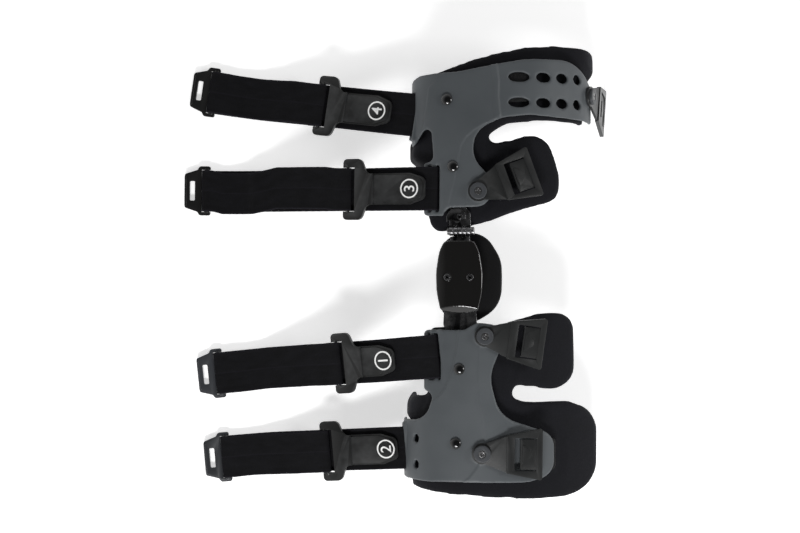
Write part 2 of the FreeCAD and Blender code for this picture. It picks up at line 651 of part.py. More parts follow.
def catch_cap():
    """The round cap that holds a catch down, with its neck through the catch."""
    z = CATCH_Z + CATCH_T + 0.1
    disc = rod(CAP_R, CAP_T, Vector(0, 0, z))
    rim = [e for e in disc.Edges if abs(e.BoundBox.ZMin - (z + CAP_T)) < 1e-3 and e.Length > 20]
    disc = disc.makeFillet(0.9, rim)
    cap = disc.fuse(rod(CATCH_HOLE_R, z - CATCH_BOSS_H + 0.5, Vector(0, 0, CATCH_BOSS_H)))
    cap = cap.cut([rod(SCREW_R, 20.0, Vector(0, 0, -5)), rod(3.4, 4.0, Vector(0, 0, z + CAP_T - 1.4))])
    return cap.removeSplitter()


def catch_screw():
    """The cross-head screw through a cap, the shell and the nut behind it."""
    top = CATCH_Z + CATCH_T + CAP_T - 0.2
    shank = rod(SCREW_R, top + SHELL_T + 1.5, Vector(0, 0, -SHELL_T - 1.5))
    screw = shank.fuse(rod(3.2, 1.1, Vector(0, 0, top - 1.1)))
    cross = [box(-1.9, 1.9, -0.4, 0.4, top - 0.8, top + 1), box(-0.4, 0.4, -1.9, 1.9, top - 0.8, top + 1)]
    return screw.cut(cross)


def catch_nut():
    """The flat nut behind the shell."""
    return rod(5.0, 1.1, Vector(0, 0, -SHELL_T - 1.4)).cut(rod(SCREW_R, 10.0, Vector(0, 0, -SHELL_T - 5)))


# ---- straps, clips and pull tabs -------------------------------------------------------------------
WEB_GAP = 0.3                  # webbing to the bars it turns round
BED_Z = -65.4                  # the webbing's middle where it lies flat
BEND_R = 100.0                 # the webbing's curve between slope and flat
CLIP_TURN_R = CLIP_BAR_R + WEB_GAP + WEB_T / 2.0
TAB_TURN_R = TAB_BAR_R + WEB_GAP + WEB_T / 2.0
ROOT_TURN_R = BAR_LOOP_R + WEB_GAP + WEB_T / 2.0
TAB_LIFT = 2.0 * CLIP_TURN_R - TAB_TURN_R          # tab bar above the lower run's middle
# strap number: (slope down to the bed, x of the clip's bar, x of the tab's bar, tab's reach)
STRAP_LAY = {4: (22.0, -240.0, -134.0, 73.0), 3: (24.0, -247.0, -107.0, 78.0),
             1: (27.0, -234.0, -117.0, 60.0), 2: (18.0, -227.5, -129.0, 72.0)}


def laid(point):
    """A point on the cuffs, after the brace is rolled on to its back edge."""
    return Rotation(Y_AXIS, -ROLL).multVec(point)


def strap_sites():
    """strap number: (bar's centre once laid, heading in plan, slope, length of the sloped run, length of the
    flat run, distance down the slope to the tab's bar)."""
    sites = {}
    for back, straps in ((THIGH_BACK, THIGH_STRAPS), (CALF_BACK, CALF_STRAPS)):
        for number, (y, angle, heading) in straps.items():
            x, z = bar_site(back, angle)
            root = laid(Vector(x, y, z))
            slope, clip_x, tab_x, reach = STRAP_LAY[number]
            s, c = math.sin(math.radians(slope)), math.cos(math.radians(slope))
            plan = math.cos(math.radians(heading))
            run = (root.z + ROOT_TURN_R * c - BED_Z - BEND_R * (1.0 - c)) / s
            flat = (root.x - clip_x) / plan - ROOT_TURN_R * s - run * c - BEND_R * s
            tab_at = ((root.x - tab_x) / plan - (ROOT_TURN_R + TAB_LIFT) * s) / c
            sites[number] = (root, heading, slope, run, flat, tab_at)
    return sites


def lay_strap(shape, site):
    """Puts a shape made with the strap's bar at the origin and +X outwards where its strap lies."""
    root, heading = site[:2]
    return place(turned(shape, Vector(0, 0, 0), Z_AXIS, 180.0 + heading), root.x, root.y, root.z)


def webbing(site):
    """One strap: round its bar, out and down, round the clip's bar, back, and round the tab's bar."""
    root, heading, slope, run, flat, tab_at = site
    start = math.radians(90.0 - slope + 200.0)
    point = (ROOT_TURN_R * math.cos(start), ROOT_TURN_R * math.sin(start))
    pieces = [("arc", ROOT_TURN_R, -200.0), ("line", run), ("arc", BEND_R, slope), ("line", flat),
              ("arc", CLIP_TURN_R, 180.0), ("line", flat), ("arc", BEND_R - 2.0 * CLIP_TURN_R, -slope),
              ("line", run - tab_at), ("arc", TAB_TURN_R, 180.0), ("line", 12.0)]
    band = ribbon(point, 200.0 - slope, pieces, -WEB_T / 2.0, WEB_T / 2.0, -STRAP_W / 2.0, STRAP_W / 2.0)
    return lay_strap(band, site)


def clip_centre(site):
    """The clip's bar, in the strap's own frame."""
    root, heading, slope, run, flat, tab_at = site
    s, c = math.sin(math.radians(slope)), math.cos(math.radians(slope))
    out = ROOT_TURN_R * s + run * c + BEND_R * s + flat
    return Vector(out, 0, BED_Z + CLIP_TURN_R - root.z)


def tab_centre(site):
    """The tab's bar, in the strap's own frame."""
    root, heading, slope, run, flat, tab_at = site
    s, c = math.sin(math.radians(slope)), math.cos(math.radians(slope))
    return Vector((ROOT_TURN_R + TAB_LIFT) * s + tab_at * c, 0, (ROOT_TURN_R + TAB_LIFT) * c - tab_at * s)


CLIP_PLATE = [(-3.6, -24.0, 2), (7, -24.0, 3), (9, -20.5, 2.5), (21.5, -16.4, 2.5), (21.5, 16.4, 2.5),
              (9, 20.5, 2.5), (7, 24.0, 3), (-3.6, 24.0, 2)]
CLIP_SLOT = [(11.5, -9.5, 1.2), (16.5, -9.5, 1.2), (16.5, 9.5, 1.2), (11.5, 9.5, 1.2)]
TAB_RING = [(4.5, -28.5, 4), (4.5, 28.5, 4), (-14.0, 28.5, 6), (-19.5, 14.4, 6), (-26.0, 14.4, 0.5),
            (-26.0, -14.4, 0.5), (-19.5, -14.4, 6), (-14.0, -28.5, 6)]


def clip(site):
    """The clip at a strap's outer end: a bar between two rails and a plate with a hooked lip."""
    plate = prism(CLIP_PLATE, -1.6, 1.6)
    plate = plate.cut([box(-10.0, 5.0, -20.6, 20.6, -5, 5), prism(CLIP_SLOT, -5, 5)])
    bar = rod(CLIP_BAR_R, 43.0, Vector(0, -21.5, 0), Y_AXIS)
    lip = box(18.5, 21.5, -12.0, 12.0, -3.9, -1.5)
    rim = box(19.5, 21.5, -14.4, 14.4, 1.5, 2.4)
    shape = plate.fuse([bar, lip, rim]).removeSplitter()
    centre = clip_centre(site)
    return lay_strap(place(shape, centre.x, 0, centre.z), site)


def on_slope(shape, site):
    """Puts a shape made about the tab's bar on the strap's slope."""
    centre = tab_centre(site)
    return lay_strap(place(turned(shape, Vector(0, 0, 0), Y_AXIS, site[2]), centre.x, 0, centre.z), site)


def tab_tongue(reach, half_width, z0, z1, start):
    """The tongue's outline, tapered to a round end."""
    shoulder, tip = 15.0 - reach, half_width - 5.0
    return prism([(start, -half_width, 0.5), (start, half_width, 0.5), (shoulder, half_width, 6), (-reach, tip, 6),
                  (-reach, -tip, 6), (shoulder, -half_width, 6)], z0, z1)


def tab(site, reach):
    """The pull tab: a ring whose outer bar holds the webbing, and a tongue stepped down towards its tip."""
    low = 2.6 - TAB_LIFT
    ring = prism(TAB_RING, low, 1.4).cut(box(-7.2, 9.0, -20.6, 20.6, -5, 5))
    bar = rod(TAB_BAR_R, 44.0, Vector(0, -22.0, 0), Y_AXIS)
    tongue = tab_tongue(reach, 14.4, low, low + 1.5, -20.0)
    step = tab_tongue(reach - 2.5, 12.8, low, low + 2.4, -20.0)
    return on_slope(ring.fuse([bar, tongue, step]).removeSplitter(), site)


def tab_hook(site, reach):
    """The hook patch under a tab's tongue."""
    low = 0.9 - TAB_LIFT
    return on_slope(tab_tongue(reach - 2.0, 12.0, low, 2.6 - TAB_LIFT, -12.0), site)


# ---- the assembly ----------------------------------------------------------------------------------
def cuff_parts(name, profiles, outlines, straps, sites, rivets, holes, patch, pocket):
    """A cuff's shell, liner and hook patch, and the fixed pieces of its catches."""
    front, back = profiles
    places = [site[2:6] for site in sites]
    liner = cuff_liner(front, back, outlines[1], straps.values())
    if pocket:
        liner = liner.cut(pocket)
    parts = {
        name + "_shell": cuff_shell(front, back, outlines[0], list(straps.values()), places, rivets, holes),
        name + "_liner": liner,
        name + "_hook_patch": hook_patch(front, back, patch),
        name + "_rivets": dome_rivets(rivets),
    }
    for fixed, make in (("catch_caps", catch_cap), ("catch_screws", catch_screw), ("catch_nuts", catch_nut)):
        copies = [on_surface(make(), x, y, z, slope, 0.0) for x, y, z, slope in places]
        parts[name + "_" + fixed] = Part.makeCompound(copies)
    return parts


def cuffs_and_hinge():
    """Every part that is carried by the upright, before the brace is laid down."""
    sites = catch_sites()
    thigh = [site for site in sites if site[1] == "thigh"]
    calf = [site for site in sites if site[1] == "calf"]
    parts = cuff_parts("thigh", (THIGH_FRONT, THIGH_BACK), (THIGH_SHELL_OUTLINE, THIGH_LINER_OUTLINE),
                       THIGH_STRAPS, thigh, THIGH_RIVETS, arm_holes(), THIGH_PATCH_OUTLINE, tilt_pocket())
    parts.update(cuff_parts("calf", (CALF_FRONT, CALF_BACK), (CALF_SHELL_OUTLINE, CALF_LINER_OUTLINE),
                            CALF_STRAPS, calf, CALF_RIVETS, edge_holes(), CALF_PATCH_OUTLINE, None))
    for number, cuff, x, y, z, slope, swing in sites:
        parts["catch_%d" % number] = on_surface(catch(CATCH_BENDS[number]), x, y, z, slope, swing)
    parts.update({
        "calf_bar": calf_bar(), "thigh_link": thigh_link(), "thigh_bar": thigh_bar(),
        "tilt_pin": tilt_pin(), "tilt_screw": tilt_screw(),
        "hinge_inner_plate": housing_plate(PLATE_Z), "hinge_outer_plate": housing_plate(BAR_TOP + GAP),
        "hinge_pins": knee_pins(), "hinge_spacers": spacers(),
        "extension_stop": extension_stop(), "flexion_stop": flexion_stop(),
        "hinge_cover": hinge_cover(), "hinge_screws": housing_screws(),
        "knee_pad": knee_pad(), "knee_pad_hook": prism(PAD_HOOK_OUTLINE, PAD_T, PLATE_Z),
    })
    return parts


def straps_and_fittings():
    """The straps with their clips and tabs, as they lie."""
    parts = {}
    for number, site in strap_sites().items():
        reach = STRAP_LAY[number][3]
        parts["strap_%d" % number] = webbing(site)
        parts["clip_%d" % number] = clip(site)
        parts["tab_%d" % number] = tab(site, reach)
        parts["tab_hook_%d" % number] = tab_hook(site, reach)
    return parts


os.makedirs("parts", exist_ok=True)
nodes = {}
for node, shape in cuffs_and_hinge().items():
    nodes[node] = turned(shape, Vector(0, 0, 0), Y_AXIS, -ROLL)
nodes.update(straps_and_fittings())
for node, shape in sorted(nodes.items()):
    shape.exportStep("parts/" + node + ".step")
    bounds = shape.BoundBox
    print("%-20s solids %d volume %9.0f  x %7.1f %7.1f  y %7.1f %7.1f  z %6.1f %6.1f" % (
        node, len(shape.Solids), shape.Volume, bounds.XMin, bounds.XMax, bounds.YMin, bounds.YMax,
        bounds.ZMin, bounds.ZMax))
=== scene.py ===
"""Hinged knee brace with one side upright, laid on its cuff edges: surfaces, soft goods and materials.

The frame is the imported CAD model, in metres. The leg's long axis is Y, thigh at +Y; the leg's front is +X.
Shells, liners, pad, straps and hinge cover are rebuilt as detailed meshes over their CAD nodes. Steel parts,
rivets, catches, clips, tabs and hook patches keep the CAD mesh with rounded edges. The tilt bracket and the
numbers printed on the tabs are pieces of their own.
"""

import math

import bpy
import numpy as np
from mathutils import Matrix, Vector
from mathutils.bvhtree import BVHTree


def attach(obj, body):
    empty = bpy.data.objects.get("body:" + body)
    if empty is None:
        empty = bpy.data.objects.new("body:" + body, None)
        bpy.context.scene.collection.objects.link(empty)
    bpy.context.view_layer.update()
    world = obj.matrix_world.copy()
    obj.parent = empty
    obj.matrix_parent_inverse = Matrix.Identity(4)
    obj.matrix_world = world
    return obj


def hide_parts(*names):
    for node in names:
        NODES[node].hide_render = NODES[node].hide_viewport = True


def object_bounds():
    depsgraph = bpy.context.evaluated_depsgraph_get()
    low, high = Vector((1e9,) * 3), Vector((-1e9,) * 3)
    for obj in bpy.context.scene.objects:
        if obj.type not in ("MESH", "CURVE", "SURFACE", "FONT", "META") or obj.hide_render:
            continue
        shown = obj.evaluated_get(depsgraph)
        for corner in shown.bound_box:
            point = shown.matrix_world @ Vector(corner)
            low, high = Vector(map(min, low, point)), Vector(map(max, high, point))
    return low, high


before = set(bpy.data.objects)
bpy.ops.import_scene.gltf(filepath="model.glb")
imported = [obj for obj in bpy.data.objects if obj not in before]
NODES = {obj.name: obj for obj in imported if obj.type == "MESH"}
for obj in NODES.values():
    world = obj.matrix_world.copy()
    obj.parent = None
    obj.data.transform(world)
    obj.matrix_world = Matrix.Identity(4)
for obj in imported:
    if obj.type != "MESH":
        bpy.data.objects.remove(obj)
cad_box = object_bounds()

MM = 0.001

# ---- the brace's own layout, in millimetres as in the CAD source ----------------------------------
ROLL = math.radians(12.0)
BAR_TOP = 17.9                  # outer face of the steel bars
HEX_Y = 55.0                    # tilt screw, along the leg
STRAP_W, WEB_T = 40.0, 1.6
ROOT_R, CLIP_R, TAB_R = 3.1, 3.7, 2.6          # the webbing's middle round its three bars
ROOT_WRAP = 200.0               # degrees of webbing round the cuff's bar
TUCK = 12.0                     # the webbing's end, folded back past the tab's bar
BED_Z, BEND_R = -65.4, 100.0    # the webbing's middle where it lies flat, and its bend down to there
TAB_LIFT = 2.0 * CLIP_R - TAB_R
# strap: (bar's centre, heading, slope down, x of the clip's bar, x of the tab's bar)
STRAPS = {
    4: ((-44.72, 150.5, -8.94), -8.4, 22.0, -240.0, -134.0),
    3: ((-27.18, 80.8, 13.52), -0.7, 24.0, -247.0, -107.0),
    1: ((-26.38, -72.5, 13.39), 6.0, 27.0, -234.0, -117.0),
    2: ((-52.59, -161.0, -24.75), 4.9, 18.0, -227.5, -129.0),
}


# ---- small helpers ----------------------------------------------------------------------------------
def laid(points):
    """Points given on the upright, after the brace is rolled on to its back edge. Millimetres to metres."""
    p = np.atleast_2d(np.asarray(points, float))
    c, s = math.cos(ROLL), math.sin(ROLL)
    return np.stack([p[:, 0] * c - p[:, 2] * s, p[:, 1], p[:, 0] * s + p[:, 2] * c], 1) * MM


def mesh_object(name, verts, faces, smooth=True):
    """A new mesh object in the scene."""
    mesh = bpy.data.meshes.new(name)
    mesh.from_pydata([tuple(v) for v in verts], [], [tuple(f) for f in faces])
    mesh.validate()
    obj = bpy.data.objects.new(name, mesh)
    bpy.context.scene.collection.objects.link(obj)
    if smooth:
        mesh.shade_smooth()
    return obj


def coords(mesh):
    """A mesh's points as an array."""
    co = np.empty(len(mesh.vertices) * 3)
    mesh.vertices.foreach_get("co", co)
    return co.reshape(-1, 3)


def set_coords(mesh, co):
    """Writes a mesh's points."""
    mesh.vertices.foreach_set("co", np.ascontiguousarray(co).ravel())
    mesh.update()


def normals(mesh):
    """A mesh's point normals as an array."""
    n = np.empty(len(mesh.vertices) * 3)
    mesh.vertices.foreach_get("normal", n)
    return n.reshape(-1, 3)


def edges(mesh):
    """A mesh's edges as an array of point pairs."""
    e = np.empty(len(mesh.edges) * 2, np.int32)
    mesh.edges.foreach_get("vertices", e)
    return e.reshape(-1, 2)


RELAX, PULL_BACK = 0.5, 0.9     # share of the way to the neighbours' mean, and of that undone again


def relaxed(co, pairs, steps):
    """Points moved towards the mean of their neighbours, with a pull back that keeps the volume."""
    count = len(co)
    ends = np.concatenate([pairs[:, 0], pairs[:, 1]])
    others = np.concatenate([pairs[:, 1], pairs[:, 0]])
    degree = np.maximum(np.bincount(ends, minlength=count), 1)[:, None]
    for step in range(steps):
        for factor in (RELAX, -RELAX * PULL_BACK) if step % 2 else (RELAX,):
            near = np.stack([np.bincount(ends, co[others, k], minlength=count) for k in range(3)], 1)
            co = co + factor * (near / degree - co)
    return co


def applied(obj):
    """Gives an object its evaluated mesh and clears its modifiers."""
    deps = bpy.context.evaluated_depsgraph_get()
    mesh = bpy.data.meshes.new_from_object(obj.evaluated_get(deps))
    obj.modifiers.clear()
    obj.data = mesh
    return obj


def remeshed(node, name, voxel):
    """A copy of a CAD node as an even quad mesh."""
    obj = bpy.data.objects.new(name, NODES[node].data.copy())
    bpy.context.scene.collection.objects.link(obj)
    mod = obj.modifiers.new("voxels", "REMESH")
    mod.mode, mod.voxel_size, mod.use_smooth_shade = "VOXEL", voxel * MM, True
    return applied(obj)


def subdivided(obj):
    """One level of subdivision, applied."""
    mod = obj.modifiers.new("round", "SUBSURF")
    mod.levels = mod.render_levels = 1
    return applied(obj)


def near_path(co, path):
    """(distance, side) from points to a polyline in plan; side is signed across the line."""
    path = np.asarray(path, float) * MM
    best, side = np.full(len(co), 1e9), np.zeros(len(co))
    for a, b in zip(path[:-1], path[1:]):
        ab = b - a
        t = np.clip(((co[:, :2] - a) @ ab) / (ab @ ab), 0.0, 1.0)
        off = co[:, :2] - (a + t[:, None] * ab)
        d = np.hypot(off[:, 0], off[:, 1])
        cross = ab[0] * (co[:, 1] - a[1]) - ab[1] * (co[:, 0] - a[0])
        closer = d < best
        best[closer], side[closer] = d[closer], np.sign(cross[closer])
    return best / MM, side


def smoothstep(x, low, high):
    """0 below low, 1 above high, smooth between."""
    t = np.clip((x - low) / (high - low), 0.0, 1.0)
    return t * t * (3.0 - 2.0 * t)


# ---- materials --------------------------------------------------------------------------------------
def linear(r, g, b):
    """A linear colour from 0..255 display values."""
    def one(v):
        v /= 255.0
        return v / 12.92 if v <= 0.04045 else ((v + 0.055) / 1.055) ** 2.4
    return (one(r), one(g), one(b), 1.0)


NOISE_ROUGHNESS = 0.55
MOST = (0.3, 0.7)               # the span that holds most of a noise's values


class Paint:
    """A Principled material with a short way to add nodes."""

    def __init__(self, name, **constants):
        self.material = bpy.data.materials.new(name)
        self.material.use_nodes = True
        self.tree = self.material.node_tree
        self.shader = self.tree.nodes["Principled BSDF"]
        self.height = None
        for key, value in constants.items():
            self.shader.inputs[key.replace("_", " ")].default_value = value

    def node(self, kind, inputs=None, **settings):
        made = self.tree.nodes.new("ShaderNode" + kind)
        for key, value in settings.items():
            setattr(made, key, value)
        for key, value in (inputs or {}).items():
            if isinstance(value, bpy.types.NodeSocket):
                self.tree.links.new(value, made.inputs[key])
            else:
                made.inputs[key].default_value = value
        return made

    def place(self, stretch=(1.0, 1.0, 1.0), uv=False):
        """Texture coordinates in metres, stretched."""
        source = self.node("TexCoord").outputs["UV" if uv else "Object"]
        return self.node("Mapping", {"Vector": source, "Scale": stretch}).outputs[0]

    def noise(self, scale, detail=3.0, stretch=(1.0, 1.0, 1.0), uv=False):
        at = self.place(stretch, uv)
        return self.node("TexNoise", {"Vector": at, "Scale": scale, "Detail": detail,
                                      "Roughness": NOISE_ROUGHNESS}).outputs["Fac"]

    def cells(self, scale):
        return self.node("TexVoronoi", {"Vector": self.place(), "Scale": scale}).outputs["Distance"]

    def ribs(self, scale, distortion):
        """Bands across the length of a piece with a UV."""
        at = self.place(uv=True)
        return self.node("TexWave", {"Vector": at, "Scale": scale, "Distortion": distortion},
                         bands_direction="X").outputs["Fac"]

    def math(self, operation, a, b=0.0):
        return self.node("Math", {0: a, 1: b}, operation=operation).outputs[0]

    def range(self, value, low, high, to_low=0.0, to_high=1.0):
        return self.node("MapRange", {"Value": value, "From Min": low, "From Max": high,
                                      "To Min": to_low, "To Max": to_high}).outputs[0]

    def mix(self, factor, a, b):
        made = self.node("Mix", data_type="RGBA")
        for socket, value in ((made.inputs[0], factor), (made.inputs[6], a), (made.inputs[7], b)):
            if isinstance(value, bpy.types.NodeSocket):
                self.tree.links.new(value, socket)
            else:
                socket.default_value = value
        return made.outputs[2]

    def edge(self, low=0.52, high=0.6):
        """1 on convex edges, 0 elsewhere."""
        return self.range(self.node("NewGeometry").outputs["Pointiness"], low, high)

    def colour(self, socket):
        self.tree.links.new(socket, self.shader.inputs["Base Color"])

    def roughness(self, socket):
        self.tree.links.new(socket, self.shader.inputs["Roughness"])

    def bump(self, height, distance, strength=1.0):
        """Adds a bump layer; distance in millimetres."""
        inputs = {"Height": height, "Distance": distance * MM, "Strength": strength}
        if self.height is not None:
            inputs["Normal"] = self.height
        self.height = self.node("Bump", inputs).outputs[0]
        self.tree.links.new(self.height, self.shader.inputs["Normal"])


def moulded(name, low, high, rough, wear, specular=0.5):
    """Injection-moulded plastic: even colour with slow drift, fine spark-eroded grain, rubbed edges."""
    p = Paint(name, Specular_IOR_Level=specular)
    drift = p.mix(p.range(p.noise(14.0), 0.35, 0.65), linear(*low), linear(*high))
    rub = p.math("MULTIPLY", p.edge(), p.range(p.noise(90.0), 0.35, 0.7, 0.08, 0.4))
    p.colour(p.mix(rub, drift, linear(*wear)))
    p.roughness(p.range(p.noise(38.0, 5.0), *MOST, rough - 0.05, rough + 0.07))
    p.bump(p.noise(1500.0, 2.0), 0.03)
    p.bump(p.noise(60.0, 2.0), 0.05)
    return p.material


def knit(name, low, high, cell=1300.0, sheen=0.14):
    """Brushed knit over foam: small loops, soft pile, a faint blue-black drift."""
    p = Paint(name, Specular_IOR_Level=0.25, Sheen_Weight=sheen, Sheen_Roughness=0.45,
              Sheen_Tint=linear(70, 72, 92))
    loops = p.range(p.cells(cell), 0.0, 0.62)
    pile = p.noise(2600.0, 3.0)
    drift = p.range(p.noise(22.0, 4.0), *MOST)
    base = p.mix(drift, linear(*low), linear(*high))
    p.colour(p.mix(p.math("MULTIPLY", loops, 0.5), base, linear(*[v * 0.55 for v in low])))
    p.roughness(p.range(pile, *MOST, 0.78, 0.95))
    p.bump(loops, 0.16, 0.7)
    p.bump(pile, 0.08, 0.6)
    return p.material


def velvet_webbing(name, low, high):
    """Loop-pile webbing: matted nap with cross ribs, smoother selvedges. UV is metres along and across."""
    p = Paint(name, Specular_IOR_Level=0.15, Sheen_Weight=0.18, Sheen_Roughness=0.4,
              Sheen_Tint=linear(80, 78, 92))
    nap = p.noise(1700.0, 4.0)
    brushed = p.noise(60.0, 4.0, stretch=(1.0, 3.0, 1.0), uv=True)
    ribs = p.ribs(170.0, 0.8)
    v = p.node("SeparateXYZ", {0: p.node("TexCoord").outputs["UV"]}).outputs[1]
    side = p.range(p.math("ABSOLUTE", v), 0.0182, 0.0192)
    seam = p.range(p.math("ABSOLUTE", v), 0.0004, 0.0009, 0.6, 0.0)
    base = p.mix(p.range(brushed, 0.35, 0.68), linear(*low), linear(*high))
    p.colour(p.mix(p.math("MAXIMUM", side, seam), base, linear(24, 23, 28)))
    p.roughness(p.range(nap, *MOST, 0.8, 0.97))
    p.bump(ribs, 0.06, 0.5)
    p.bump(nap, 0.22, 0.8)
    return p.material


def gloss(name, colour, rough, coat):
    """Polished or painted surface: slight waviness, dust-fine scratches in the roughness."""
    p = Paint(name, Coat_Weight=coat, Coat_Roughness=0.04)
    haze = p.noise(220.0, 5.0, stretch=(1.0, 0.25, 1.0))
    drift = p.range(p.noise(30.0), *MOST)
    p.colour(p.mix(drift, linear(*colour), linear(*[v * 0.8 for v in colour])))
    p.roughness(p.range(haze, 0.35, 0.7, rough, rough + 0.1))
    p.bump(p.noise(45.0, 1.0), 0.02, 0.5)
    return p.material


def black_steel(name):
    """Black-coated steel; its convex edges painted bright, partly as rubbed-through coat and partly as a
    painted edge highlight.
    """
    p = Paint(name, Metallic=0.85, Specular_IOR_Level=0.5)
    # convex edges painted bright in patches: rubbed-through coat, and a painted highlight along the edges
    edge_wear_and_highlight = p.math("MULTIPLY", p.edge(0.515, 0.55), p.range(p.noise(160.0, 3.0), 0.3, 0.55, 0.3, 1.0))
    p.colour(p.mix(edge_wear_and_highlight, linear(24, 24, 25), linear(170, 170, 172)))
    p.roughness(p.range(p.noise(300.0, 4.0), *MOST, 0.2, 0.34))
    p.bump(p.noise(900.0, 2.0), 0.015)
    return p.material


def bright_metal(name):
    """Plated steel with turned marks."""
    p = Paint(name, Metallic=1.0)
    p.colour(p.mix(p.noise(400.0, 3.0), linear(150, 150, 152), linear(120, 119, 118)))
    p.roughness(p.range(p.noise(700.0, 4.0), *MOST, 0.22, 0.4))
    p.bump(p.noise(1200.0, 2.0), 0.01)
    return p.material


def hook_tape(name):
    """Hook tape: rows of small stiff hooks on a woven ground."""
    p = Paint(name, Specular_IOR_Level=0.3)
    hooks = p.range(p.cells(800.0), 0.05, 0.45, 1.0, 0.0)
    p.colour(p.mix(hooks, linear(6, 6, 8), linear(15, 15, 18)))
    p.roughness(p.range(p.noise(900.0), *MOST, 0.45, 0.7))
    p.bump(hooks, 0.5)
    return p.material


def printed(name):
    """White pad-printed ink."""
    p = Paint(name, Specular_IOR_Level=0.4)
    thin = p.range(p.noise(300.0, 4.0), 0.35, 0.7)
    p.colour(p.mix(thin, linear(252, 252, 250), linear(236, 236, 236)))
    p.roughness(p.range(p.noise(500.0), *MOST, 0.45, 0.6))
    p.bump(p.noise(1500.0), 0.01)
    return p.material


SHELL = moulded("shell_grey", (74, 78, 81), (82, 86, 89), 0.46, wear=(128, 131, 133), specular=0.35)
CATCH = moulded("catch_black", (28, 29, 30), (34, 35, 35), 0.34, wear=(84, 84, 84))
CAP = moulded("cap_grey", (56, 58, 61), (62, 64, 67), 0.46, wear=(96, 97, 99), specular=0.35)
CLIP_BLACK = moulded("clip_black", (20, 20, 20), (26, 26, 26), 0.34, wear=(70, 70, 72))
CLIP_GREY = moulded("clip_grey", (46, 48, 51), (56, 58, 62), 0.32, wear=(110, 112, 116))
TAB = moulded("tab_black", (22, 23, 23), (28, 28, 28), 0.34, wear=(76, 77, 78))
LINER = knit("liner_knit", (13, 14, 19), (20, 20, 27))
PAD = knit("pad_knit", (10, 10, 11), (16, 16, 18), cell=1500.0, sheen=0.08)
WEB = velvet_webbing("webbing_loop", (12, 12, 14), (18, 18, 21))
COVER = gloss("cover_gloss", (13, 12, 11), 0.05, 1.0)
RIVET = gloss("rivet_gloss", (8, 8, 9), 0.1, 0.35)
STEEL = black_steel("steel_black")
BRIGHT = bright_metal("plated_bright")
HOOK = hook_tape("hook_tape")
PRINT = printed("print_white")


def painted(obj, material):
    """Gives every face of an object one material."""
    obj.data.materials.clear()
    obj.data.materials.append(material)
    for slot in obj.material_slots:
        slot.link = "DATA"
    return obj


# ---- moulded shells ---------------------------------------------------------------------------------
SHELL_VOXEL, SHELL_STEPS = 1.0, 5
STEP_WIDTH = 1.2                # a flow line's step rises over this distance


def crease(co, path, height, fade, side):
    """Height of a flow line: a small step on one side of a path that fades out away from it."""
    distance, signed = near_path(co, path)
    near = np.where(signed == side, np.exp(-distance / fade), 0.0)
    rise = smoothstep(distance, 0.0, STEP_WIDTH)
    return height * near * rise


def raised_band(co, path, height, width):
    """Height of a low rounded rib along a path."""
    distance = near_path(co, path)[0]
    return height * (1.0 - smoothstep(distance, width * 0.25, width * 0.5))


THIGH_RIDGE = [(19.8, 139.0), (10.1, 133.5), (1.8, 126.6), (-2.3, 119.6), (-5.1, 105.8), (-7.9, 90.6),
               (-13.4, 67.0)]
THIGH_ARM_FOLD = [(26.4, 196.0), (28.5, 178.0), (28.2, 163.0), (30.2, 144.0)]
THIGH_BOSS_LINE = [(15.0, 96.1), (6.0, 89.2), (3.3, 82.3), (1.8, 72.6), (1.0, 66.0)]
THIGH_BACK_FOLD = [(-21.0, 184.6), (-32.7, 173.6), (-34.2, 159.8), (-37.6, 140.5), (-43.0, 119.6)]
CALF_RIDGE = [(-6.3, -44.0), (-6.9, -56.0), (-8.3, -68.2), (-10.8, -80.0), (-14.3, -92.0), (-18.2, -101.0),
              (-23.6, -108.0), (-30.0, -114.0), (-38.1, -118.6)]
CALF_FRONT_RIDGE = [(12.6, -58.0), (12.0, -75.0), (11.6, -94.7), (12.5, -108.0), (14.2, -121.3),
                    (17.5, -146.4)]
CALF_FOOT_LINE = [(14.0, -166.0), (11.0, -172.0), (4.1, -181.0), (-2.0, -186.0)]


def shell(node, name, relief):
    """A moulded shell: even mesh, rounded edges, and its low relief on the outer face."""
    obj = remeshed(node, name, SHELL_VOXEL)
    mesh = obj.data
    co = relaxed(coords(mesh), edges(mesh), SHELL_STEPS)
    set_coords(mesh, co)
    n = normals(mesh)
    outward = smoothstep(n[:, 2], 0.25, 0.6)
    rise = relief(co) * outward
    set_coords(mesh, co + n * (rise * MM)[:, None])
    mesh.shade_smooth()
    painted(obj, SHELL)
    return obj


def thigh_relief(co):
    """Flow lines and the folded band across the arm's root."""
    outer = smoothstep(co[:, 2] / MM, 5.0, 9.0)
    rise = crease(co, THIGH_RIDGE, 0.8, 9.0, -1.0) * outer
    rise += raised_band(co, THIGH_ARM_FOLD, 0.8, 7.0)
    rise += crease(co, THIGH_BACK_FOLD, 0.7, 6.0, 1.0)
    return rise + crease(co, THIGH_BOSS_LINE, 0.6, 6.0, 1.0) * outer


def calf_relief(co):
    """Flow lines down the calf shell."""
    rise = crease(co, CALF_RIDGE, 0.8, 10.0, 1.0)
    rise += crease(co, CALF_FRONT_RIDGE, 0.6, 8.0, 1.0)
    rise += crease(co, CALF_FOOT_LINE, 0.6, 7.0, 1.0)
    return rise


for cuff, relief in (("thigh", thigh_relief), ("calf", calf_relief)):
    made = shell(cuff + "_shell", cuff + "_shell_moulded", relief)
    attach(made, cuff)
    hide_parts(cuff + "_shell")


# ---- hinge cover and tilt bracket -------------------------------------------------------------------
COVER_VOXEL, COVER_STEPS = 0.6, 6
BRACKET_T, BRACKET_EDGE = 0.25, 0.2            # half the plate's thickness, and its rounded edge
BRACKET_LIFT = 0.5              # its middle above the bars' outer face
HOLE_X, HOLE_R = -3.4, 3.0      # the hexagon over the tilt screw


def cover():
    """The glossy cover, with its crown and edges softened."""
    obj = remeshed("hinge_cover", "hinge_cover_moulded", COVER_VOXEL)
    set_coords(obj.data, relaxed(coords(obj.data), edges(obj.data), COVER_STEPS))
    obj.data.shade_smooth()
    return painted(obj, COVER)


